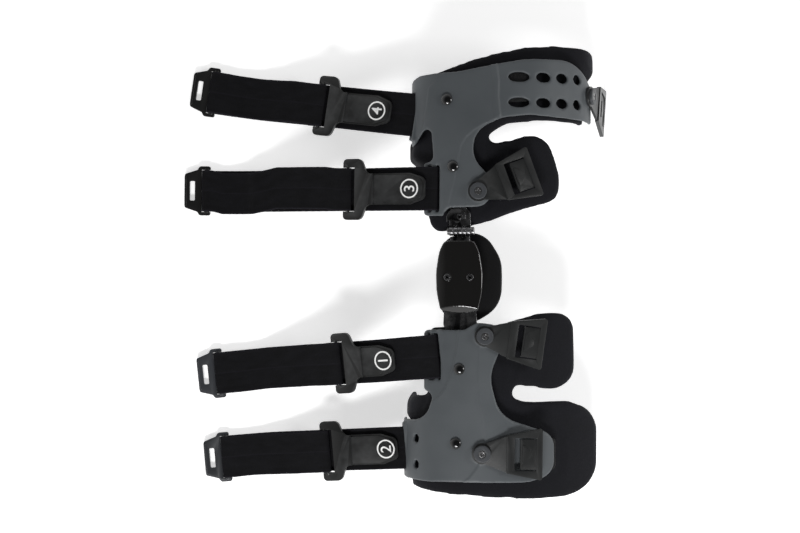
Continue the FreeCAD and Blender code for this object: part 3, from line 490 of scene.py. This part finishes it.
def tilt_bracket():
    """The thin bracket over the thigh bar's foot: rounded above, a wavy lower edge, a hole at the screw."""
    outline = [(-12.1, 51.0), (-11.0, 51.9), (-9.2, 52.2), (-7.1, 52.2), (-4.6, 51.0), (-3.4, 50.3),
               (-2.1, 50.0), (-0.8, 50.5), (0.4, 51.5), (1.6, 52.8), (2.9, 53.4), (5.2, 53.5), (5.3, 56.0),
               (4.2, 59.0), (2.0, 61.2), (-1.0, 62.2), (-4.5, 62.3), (-7.8, 61.4), (-10.4, 59.0),
               (-12.0, 55.5)]
    turns = [math.radians(60 * k) for k in range(6)]
    hole = [(HOLE_R * math.cos(a) + HOLE_X, HOLE_R * math.sin(a) + HEX_Y) for a in turns]
    flat = bpy.data.curves.new("tilt_bracket_flat", "CURVE")
    flat.dimensions, flat.fill_mode = "2D", "BOTH"
    flat.extrude, flat.bevel_depth, flat.bevel_resolution = BRACKET_T * MM, BRACKET_EDGE * MM, 2
    for corners in (outline, hole):
        spline = flat.splines.new("POLY")
        spline.points.add(len(corners) - 1)
        for point, (x, y) in zip(spline.points, corners):
            point.co = (x * MM, y * MM, 0.0, 1.0)
        spline.use_cyclic_u = True
    drawn = bpy.data.objects.new("tilt_bracket_flat", flat)
    bpy.context.scene.collection.objects.link(drawn)
    bpy.context.view_layer.update()
    mesh = bpy.data.meshes.new_from_object(drawn.evaluated_get(bpy.context.evaluated_depsgraph_get()))
    bpy.data.objects.remove(drawn)
    co = coords(mesh) / MM
    co[:, 2] += BAR_TOP + BRACKET_LIFT
    faces = [tuple(p.vertices) for p in mesh.polygons]
    return mesh_object("tilt_bracket_plate", laid(co), faces, smooth=False)


made = tilt_bracket()
painted(made, STEEL)
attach(made, "thigh")
made = cover()
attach(made, "hinge_housing")
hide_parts("hinge_cover")


# ---- foam liners and knee pad -----------------------------------------------------------------------
SIM_FRAMES = 20
PAD_STEPS, LAST_STEPS = 7, 3    # rounds of relaxing, before and after the swelling
SEARCH = 0.02                   # a neighbour further than this, in metres, doesn't hold a point
HELD_GAP, FREE_GAP = 1.2, 6.0   # a point is held nearer a neighbour than one, free beyond the other
SHRINK = 0.5                    # the free surface starts this far inside


def tree_of(names):
    """A search tree over CAD nodes' faces."""
    verts, faces = [], []
    for name in names:
        mesh, start = NODES[name].data, len(verts)
        verts += [v.co.copy() for v in mesh.vertices]
        faces += [[start + i for i in p.vertices] for p in mesh.polygons]
    return BVHTree.FromPolygons(verts, faces)


def soft_start(node, name, voxel, against):
    """A pad ready to be swelled: even mesh, rounded, slightly shrunk, held where it lies on something."""
    obj = remeshed(node, name, voxel)
    mesh = obj.data
    co = relaxed(coords(mesh), edges(mesh), PAD_STEPS)
    set_coords(mesh, co)
    tree = tree_of(against)
    gap = np.array([(tree.find_nearest(Vector(p), SEARCH)[3] or SEARCH) for p in co]) / MM
    free = smoothstep(gap, HELD_GAP, FREE_GAP)
    set_coords(mesh, co - normals(mesh) * (free * SHRINK * MM)[:, None])
    held = obj.vertex_groups.new(name="held")
    for i in range(len(co)):
        held.add([i], float(1.0 - free[i]), "REPLACE")
    cloth = obj.modifiers.new("swell", "CLOTH")
    cloth.settings.quality = 5
    cloth.settings.mass = 0.3
    cloth.settings.tension_stiffness = cloth.settings.compression_stiffness = 12.0
    cloth.settings.bending_stiffness = 0.6
    cloth.settings.use_pressure = True
    cloth.settings.uniform_pressure_force = 4.0
    cloth.settings.vertex_group_mass = "held"
    cloth.settings.effector_weights.gravity = 0.0
    cloth.collision_settings.use_collision = False
    cloth.collision_settings.use_self_collision = False
    cloth.point_cache.frame_start, cloth.point_cache.frame_end = 1, SIM_FRAMES
    return obj, free


def bulge(value, low, high, ease):
    """1 between low and high, easing to 0 over a distance outside them."""
    return smoothstep(value, low - ease, low) * (1.0 - smoothstep(value, high, high + ease))


def thigh_flare(co, free):
    """The liner's loose margin beyond the arm's end, and its back wall between the straps, stand outward."""
    x, y = (co / MM)[:, :2].T
    corner = smoothstep(x, 82.0, 106.0) * smoothstep(y, 172.0, 192.0) * free
    wall = bulge(y, 111.0, 126.0, 8.0) * smoothstep(-x, 24.0, 38.0) * free
    return np.stack([corner * 10.0 - wall * 8.0, corner * 1.0, corner * 2.0 - wall * 3.0], 1) * MM


def calf_flare(co, free):
    """The calf liner's back wall stands outward between the straps."""
    x, y = (co / MM)[:, :2].T
    wall = bulge(y, -131.0, -120.0, 8.0) * smoothstep(-x, 24.0, 38.0) * free
    return np.stack([-wall * 4.0, -wall * 1.5, -wall * 2.0], 1) * MM


def unflared(co, free):
    """No change."""
    return np.zeros(co.shape)


def soft_finish(obj, free, most, flare):
    """Takes the swelled shape, with no point moved further than most allows, flares and rounds it."""
    start = coords(obj.data)
    deps = bpy.context.evaluated_depsgraph_get()
    moved = obj.evaluated_get(deps).data
    delta = coords(moved) - start
    length = np.maximum(np.linalg.norm(delta, axis=1), 1e-9)
    cap = most * MM * free
    delta *= (np.minimum(length, cap) / length)[:, None]
    start = start + delta
    obj.modifiers.clear()
    set_coords(obj.data, relaxed(start + flare(start, free), edges(obj.data), LAST_STEPS))
    return subdivided(obj)


# node: (body, voxel, the most a point may swell, how its margins flare, the nodes that hold it)
PADS = {
    "thigh_liner": ("thigh", 2.2, 1.5, thigh_flare,
                    ["thigh_shell", "thigh_hook_patch", "thigh_bar", "thigh_link", "tilt_pin"]),
    "calf_liner": ("calf", 2.2, 1.5, calf_flare, ["calf_shell", "calf_hook_patch", "calf_bar"]),
    "knee_pad": ("hinge_housing", 1.6, 1.6, unflared, ["knee_pad_hook", "hinge_inner_plate"]),
}
started = {node: soft_start(node, node + "_soft", voxel, against)
           for node, (body, voxel, most, flare, against) in PADS.items()}
for step in range(1, SIM_FRAMES + 1):
    bpy.context.scene.frame_set(step)
for node, (body, voxel, most, flare, against) in PADS.items():
    obj = soft_finish(*started[node], most, flare)
    painted(obj, PAD if node == "knee_pad" else LINER)
    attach(obj, body)
    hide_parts(node)
bpy.context.scene.frame_set(1)


# ---- straps -----------------------------------------------------------------------------------------
STATION = 1.3                   # distance between the webbing's cross-sections
RIPPLE = 0.45                   # height of the upper run's waves
PUFF = 0.5                      # how far the webbing stands off the clip's bar
DIP_STRAP, DIP, DIP_X, DIP_WIDTH = 3, 2.4, 172.0, 7.0      # the dent across one upper run
CURL, CURL_HALF = 0.25, 19.0    # the edges' curl, and the distance across at which it is reached
SELVEDGE_WAVE, SELVEDGE_FROM = 0.04, 18


def walk(point, heading, pieces, step):
    """Stations (along, x, z, heading in radians, piece number) of a path in XZ, at about that step."""
    rows, along = [(0.0, point[0], point[1], math.radians(heading), 0)], 0.0
    x, z, a = point[0], point[1], math.radians(heading)
    for number, piece in enumerate(pieces):
        if piece[0] == "line":
            count = max(int(round(piece[1] / step)), 2)
            for _ in range(count):
                d = piece[1] / count
                x, z, along = x + d * math.cos(a), z + d * math.sin(a), along + d
                rows.append((along, x, z, a, number))
        else:
            turn = math.radians(piece[2])
            count = max(int(round(piece[1] * abs(turn) / step)), 10)
            side = math.copysign(1.0, turn)
            for _ in range(count):
                d = turn / count
                x += piece[1] * side * (math.sin(a + d) - math.sin(a))
                z -= piece[1] * side * (math.cos(a + d) - math.cos(a))
                a, along = a + d, along + abs(d) * piece[1]
                rows.append((along, x, z, a, number))
    return np.array(rows)


def strap_section():
    """(across, out of the middle) round the webbing's section: flat faces, thicker selvedges, round edges."""
    half, t = STRAP_W / 2.0, WEB_T / 2.0
    face = np.array([-half + 0.25, -half + 0.7, -half + 1.6, -half + 2.2, -12.0, -6.0, -1.2, -0.5, 0.0,
                     0.5, 1.2, 6.0, 12.0, half - 2.2, half - 1.6, half - 0.7, half - 0.25])
    level = np.full(len(face), t)
    level[[0, -1]] -= 0.32
    level[[1, -2]] += 0.02
    level[[2, -3]] += 0.02
    level[[3, -4]] -= 0.16
    level[8] -= 0.22
    top = np.column_stack([face, level])
    bottom = np.column_stack([face[::-1], -level[::-1]])
    edge_right = np.array([[half, 0.25], [half, -0.25]])
    edge_left = np.array([[-half, -0.25], [-half, 0.25]])
    return np.vstack([top, edge_right, bottom, edge_left])


# strap: [(distance from its bar, sideways shift)] of the upper run, then of the lower run
SHIFTS = {
    4: ([(95, 0.0), (120, -0.8), (150, 0.6), (175, 0.4), (190, 0.0)], [(20, 0), (90, -0.6), (190, 0)]),
    3: ([(85, 0.0), (100, -1.6), (150, -2.4), (172, 2.6), (205, 2.6), (219, 0.6)], [(20, 0), (219, 0)]),
    1: ([(95, 0.0), (120, -0.4), (160, -0.5), (185, 0.2), (200, 0.0)], [(20, 0), (60, 0.5), (200, 0)]),
    2: ([(80, 0.0), (110, 0.4), (150, -0.3), (170, 0.0)], [(20, 0), (170, 0)]),
}


def strap_lie(number):
    """(sine and cosine of a strap's slope, cosine of its heading, way down the slope to the tab's bar)."""
    root, heading, slope, clip_x, tab_x = STRAPS[number]
    s, c = math.sin(math.radians(slope)), math.cos(math.radians(slope))
    plan = math.cos(math.radians(heading))
    return s, c, plan, ((root[0] - tab_x) / plan - (ROOT_R + TAB_LIFT) * s) / c


def strap_path(number):
    """A strap's path: round the cuff's bar, down and along the bed, round the clip, back, round the tab."""
    root, heading, slope, clip_x, tab_x = STRAPS[number]
    s, c, plan, tab_at = strap_lie(number)
    run = (root[2] + ROOT_R * c - BED_Z - BEND_R * (1.0 - c)) / s
    flat = (root[0] - clip_x) / plan - ROOT_R * s - run * c - BEND_R * s
    start = math.radians(90.0 - slope + ROOT_WRAP)
    pieces = [("arc", ROOT_R, -ROOT_WRAP), ("line", run), ("arc", BEND_R, slope), ("line", flat),
              ("arc", CLIP_R, 180.0), ("line", flat), ("arc", BEND_R - 2.0 * CLIP_R, -slope),
              ("line", run - tab_at), ("arc", TAB_R, 180.0), ("line", TUCK)]
    begin = (ROOT_R * math.cos(start), ROOT_R * math.sin(start))
    return walk(begin, ROOT_WRAP - slope, pieces, STATION)


def eased(along, mask, rise, fall):
    """1 along the middle of a run, 0 off it; rise and fall are where it starts and stops easing."""
    first, last = along[mask].min(), along[mask].max()
    ease = np.zeros(len(along))
    ease[mask] = smoothstep(along[mask], first + rise[0], first + rise[1]) * (
        1.0 - smoothstep(along[mask], last - fall[0], last - fall[1]))
    return ease


def webbing(number, rows, profile):
    """A strap's points in its own axes (station, section point): small waves, a curl and sideways shifts."""
    along, x, z, a, piece = rows.T
    out = np.stack([-np.sin(a), np.cos(a)], 1)
    upper, lower, turning = (piece >= 5) & (piece <= 7), (piece >= 1) & (piece <= 3), piece == 4
    ease = eased(along, upper, (0.0, 16.0), (24.0, 4.0))
    low_ease = eased(along, lower, (8.0, 40.0), (30.0, 10.0))
    lift = -RIPPLE * ease * (np.sin(x * 0.13 + number * 1.7) + 0.6 * np.sin(x * 0.29 + number))
    if number == DIP_STRAP:
        lift -= DIP * ease * np.exp(-((x - DIP_X) / DIP_WIDTH) ** 2)
    lift[turning] -= PUFF * np.sin(math.pi * (along[turning] - along[turning].min()) / (math.pi * CLIP_R))
    shift = np.zeros(len(along))
    for mask, amount, key in ((upper, ease, 0), (lower, low_ease, 1)):
        at = np.array(SHIFTS[number][key], float)
        shift += np.interp(x, at[:, 0], at[:, 1]) * amount * mask
    across, level = profile[None, :, 0], profile[None, :, 1] + lift[:, None]
    px = x[:, None] + out[:, :1] * level
    pz = z[:, None] + out[:, 1:] * level
    curl = CURL * np.sin(along * 0.11 + number)[:, None] * (ease + low_ease)[:, None]
    pz = pz + curl * (across / CURL_HALF) ** 2 * np.sign(out[:, 1:])
    weave = SELVEDGE_WAVE * np.sin(along * 0.9)[:, None] * (np.abs(across) > SELVEDGE_FROM)
    return px, across + shift[:, None] + weave, pz


def strap(number):
    """One strap as a continuous band along its path."""
    root, heading, slope, clip_x, tab_x = STRAPS[number]
    rows, profile = strap_path(number), strap_section()
    along, count, sides = rows[:, 0], len(rows), len(profile)
    px, py, pz = webbing(number, rows, profile)
    turn = math.radians(180.0 + heading)
    gx = px * math.cos(turn) - py * math.sin(turn) + root[0]
    gy = px * math.sin(turn) + py * math.cos(turn) + root[1]
    verts = np.stack([gx, gy, pz + root[2]], 2).reshape(-1, 3) * MM
    faces, uvs = [], []
    for i in range(count - 1):
        for k in range(sides):
            m = (k + 1) % sides
            faces.append((i * sides + k, i * sides + m, (i + 1) * sides + m, (i + 1) * sides + k))
            va, vb = profile[k, 0] * MM, profile[m, 0] * MM
            ua, ub = along[i] * MM, along[i + 1] * MM
            uvs += [(ua, va), (ua, vb), (ub, vb), (ub, va)]
    for ring, order in ((0, 1), (count - 1, -1)):
        faces.append(tuple(ring * sides + k for k in range(sides)[::-order]))
        uvs += [(along[ring] * MM, profile[k, 0] * MM) for k in range(sides)[::-order]]
    obj = mesh_object("strap_%d_webbing" % number, verts, faces)
    layer = obj.data.uv_layers.new(name="UVMap")
    layer.data.foreach_set("uv", np.array(uvs).ravel())
    return obj


for number in STRAPS:
    obj = strap(number)
    painted(obj, WEB)
    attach(obj, "strap_%d" % number)
    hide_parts("strap_%d" % number)


# ---- numbers on the tabs ----------------------------------------------------------------------------
# tab: distance of its number from the tab's bar
NUMBER_AT = {4: 58.6, 3: 62.5, 1: 48.5, 2: 60.5}
PRINT_T = 0.12
TEXT_SIZE, TEXT_BOLD = 14.6, 0.1
RING_OUT, RING_IN, RING_SIDES = 8.9, 7.5, 72
TAB_FACE = 2.6 - TAB_LIFT + 2.4                # the tongue's face above the tab's bar


def tab_frame(number):
    """The matrix of a tab's own axes: origin at its bar, -X along the tongue, Z out of its face."""
    root, heading, slope, clip_x, tab_x = STRAPS[number]
    s, c, plan, tab_at = strap_lie(number)
    bar = Vector(((ROOT_R + TAB_LIFT) * s + tab_at * c, 0.0, (ROOT_R + TAB_LIFT) * c - tab_at * s))
    turn = Matrix.Rotation(math.radians(180.0 + heading), 4, "Z")
    return (Matrix.Translation(Vector(root) * MM) @ turn @ Matrix.Translation(bar * MM)
            @ Matrix.Rotation(math.radians(slope), 4, "Y"))


def number_print(number):
    """A ring with the strap's number in it, printed on a tab."""
    text = bpy.data.curves.new("print_text_%d" % number, "FONT")
    text.body = str(number)
    text.align_x, text.align_y = "CENTER", "CENTER"
    text.size, text.offset, text.extrude = TEXT_SIZE * MM, TEXT_BOLD * MM, PRINT_T / 2.0 * MM
    written = bpy.data.objects.new("print_text_%d" % number, text)
    bpy.context.scene.collection.objects.link(written)
    bpy.context.view_layer.update()
    glyph = bpy.data.meshes.new_from_object(written.evaluated_get(bpy.context.evaluated_depsgraph_get()))
    bpy.data.objects.remove(written)
    co = coords(glyph)
    middle = (co.min(0) + co.max(0)) / 2.0
    co = (co - [middle[0], middle[1], 0.0]) / MM
    co = np.stack([co[:, 1], -co[:, 0], co[:, 2]], 1)
    faces = [tuple(p.vertices) for p in glyph.polygons]
    start, sides, ring = len(co), 4, []
    for i in range(RING_SIDES):
        a = i * 2.0 * math.pi / RING_SIDES
        for r, h in ((RING_OUT, 0.5), (RING_IN, 0.5), (RING_IN, -0.5), (RING_OUT, -0.5)):
            ring.append((r * math.cos(a), r * math.sin(a), h * PRINT_T))
    for i in range(RING_SIDES):
        j = (i + 1) % RING_SIDES
        for k in range(sides):
            m = (k + 1) % sides
            corners = (i * sides + k, i * sides + m, j * sides + m, j * sides + k)
            faces.append(tuple(start + v for v in corners))
    co = np.vstack([co, ring])
    co[:, 0] -= NUMBER_AT[number]
    co[:, 2] += TAB_FACE + PRINT_T / 2.0
    place = np.array(tab_frame(number))
    co = co * MM @ place[:3, :3].T + place[:3, 3]
    return mesh_object("tab_%d_print" % number, co, faces, smooth=False)


for number in STRAPS:
    obj = number_print(number)
    painted(obj, PRINT)
    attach(obj, "tab_%d" % number)


# ---- parts that keep their CAD mesh -----------------------------------------------------------------
WELD, FLAT, SHARP = 0.01, 0.6, 28.0            # merge distance, and in degrees: flat below, an edge above
BEVEL_SEGMENTS = 3


def rounded(node, width, material):
    """Rounds the edges of a CAD node and gives it its material."""
    obj = NODES[node]
    weld = obj.modifiers.new("weld", "WELD")
    weld.merge_threshold = WELD * MM
    flat = obj.modifiers.new("flat", "DECIMATE")
    flat.decimate_type, flat.angle_limit = "DISSOLVE", math.radians(FLAT)
    bevel = obj.modifiers.new("edges", "BEVEL")
    bevel.width, bevel.segments, bevel.limit_method = width * MM, BEVEL_SEGMENTS, "ANGLE"
    bevel.angle_limit, bevel.harden_normals = math.radians(SHARP), True
    bevel.miter_outer = "MITER_ARC"
    painted_slots(obj, material)


def painted_slots(obj, material):
    """Assigns a material to all of a CAD object's slots."""
    if not obj.material_slots:
        obj.data.materials.append(material)
    for slot in obj.material_slots:
        slot.material = material
    obj.data.shade_smooth()


# (width of the rounded edges, material, nodes)
FINISH = [
    (0.3, CATCH, ["catch_%d" % number for number in STRAPS]),
    (0.45, CLIP_GREY, ["clip_1", "clip_2"]),
    (0.45, CLIP_BLACK, ["clip_3", "clip_4"]),
    (0.5, TAB, ["tab_%d" % number for number in STRAPS]),
    (0.3, HOOK, ["tab_hook_%d" % number for number in STRAPS]),
    (0.1, HOOK, ["thigh_hook_patch", "calf_hook_patch"]),
    (0.2, HOOK, ["knee_pad_hook"]),
    (0.3, CAP, ["thigh_catch_caps", "calf_catch_caps"]),
    (0.12, BRIGHT, ["thigh_catch_screws", "calf_catch_screws", "thigh_catch_nuts", "calf_catch_nuts"]),
    (0.2, RIVET, ["thigh_rivets", "calf_rivets"]),
    (0.3, STEEL, ["hinge_screws"]),
    (0.25, STEEL, ["hinge_inner_plate", "hinge_outer_plate", "calf_bar", "thigh_bar", "thigh_link"]),
    (0.15, STEEL, ["extension_stop", "flexion_stop", "tilt_screw"]),
    (0.15, BRIGHT, ["hinge_pins", "hinge_spacers"]),
    (0.2, BRIGHT, ["tilt_pin"]),
]
for width, material, nodes in FINISH:
    for node in nodes:
        rounded(node, width, material)


# ---- floor, lights and camera -----------------------------------------------------------------------
GLOW = 0.55                     # the floor's own light, which keeps it pale under the shadows
FLOOR_GAP, FLOOR_HALF = 0.0002, 6
LENS, SENSOR = 53.5, 36.0
EYE = (-0.0583, 0.0097, 1.1)
# light from the surroundings, by how far up a direction points: strong near the horizon, weak overhead
SKY = {"From Min": 0.15, "From Max": 0.8, "To Min": 0.95, "To Max": 0.08}


def area_light(name, place, aim, size, power, long_side=None):
    """A soft white lamp, square or, with a long side, rectangular."""
    lamp = bpy.data.lights.new(name, "AREA")
    lamp.energy, lamp.size = power, size
    if long_side:
        lamp.shape, lamp.size_y = "RECTANGLE", long_side
    obj = bpy.data.objects.new(name, lamp)
    bpy.context.scene.collection.objects.link(obj)
    obj.location = place
    obj.rotation_mode = "QUATERNION"
    obj.rotation_quaternion = (Vector(aim) - Vector(place)).to_track_quat("-Z", "Y")


floor_z = cad_box[0].z - FLOOR_GAP
corners = [(FLOOR_HALF * i, FLOOR_HALF * j, floor_z) for i, j in ((-1, -1), (1, -1), (1, 1), (-1, 1))]
floor = mesh_object("floor", corners, [(0, 1, 2, 3)], smooth=False)
paper = Paint("floor_paper", Specular_IOR_Level=0.1, Roughness=0.9, Emission_Color=linear(255, 255, 255),
              Emission_Strength=GLOW)
paper.colour(paper.mix(paper.noise(3.0), linear(248, 248, 248), linear(251, 251, 251)))
painted(floor, paper.material)

area_light("key", (-0.15, -1.05, 1.0), (-0.05, 0.0, 0.0), size=0.6, power=14.0, long_side=0.25)
area_light("side", (1.15, 0.1, 0.9), (0.0, 0.0, 0.0), size=0.4, power=5.0)

world = bpy.data.worlds.new("studio")
world.use_nodes = True
sky = world.node_tree
direction = sky.nodes.new("ShaderNodeTexCoord")
split = sky.nodes.new("ShaderNodeSeparateXYZ")
dim = sky.nodes.new("ShaderNodeMapRange")
sky.links.new(direction.outputs["Generated"], split.inputs[0])
sky.links.new(split.outputs["Z"], dim.inputs["Value"])
for key, value in SKY.items():
    dim.inputs[key].default_value = value
sky.links.new(dim.outputs[0], sky.nodes["Background"].inputs["Strength"])
sky.nodes["Background"].inputs["Color"].default_value = (1.0, 1.0, 1.0, 1.0)
bpy.context.scene.world = world

camera = bpy.data.cameras.new("camera")
camera.lens, camera.sensor_width = LENS, SENSOR
camera.clip_start, camera.clip_end = 0.01, 50.0
eye = bpy.data.objects.new("camera", camera)
bpy.context.scene.collection.objects.link(eye)
eye.location = EYE
bpy.context.scene.camera = eye
bpy.context.scene.view_settings.view_transform = "Standard"
bpy.context.scene.view_settings.look = "None"
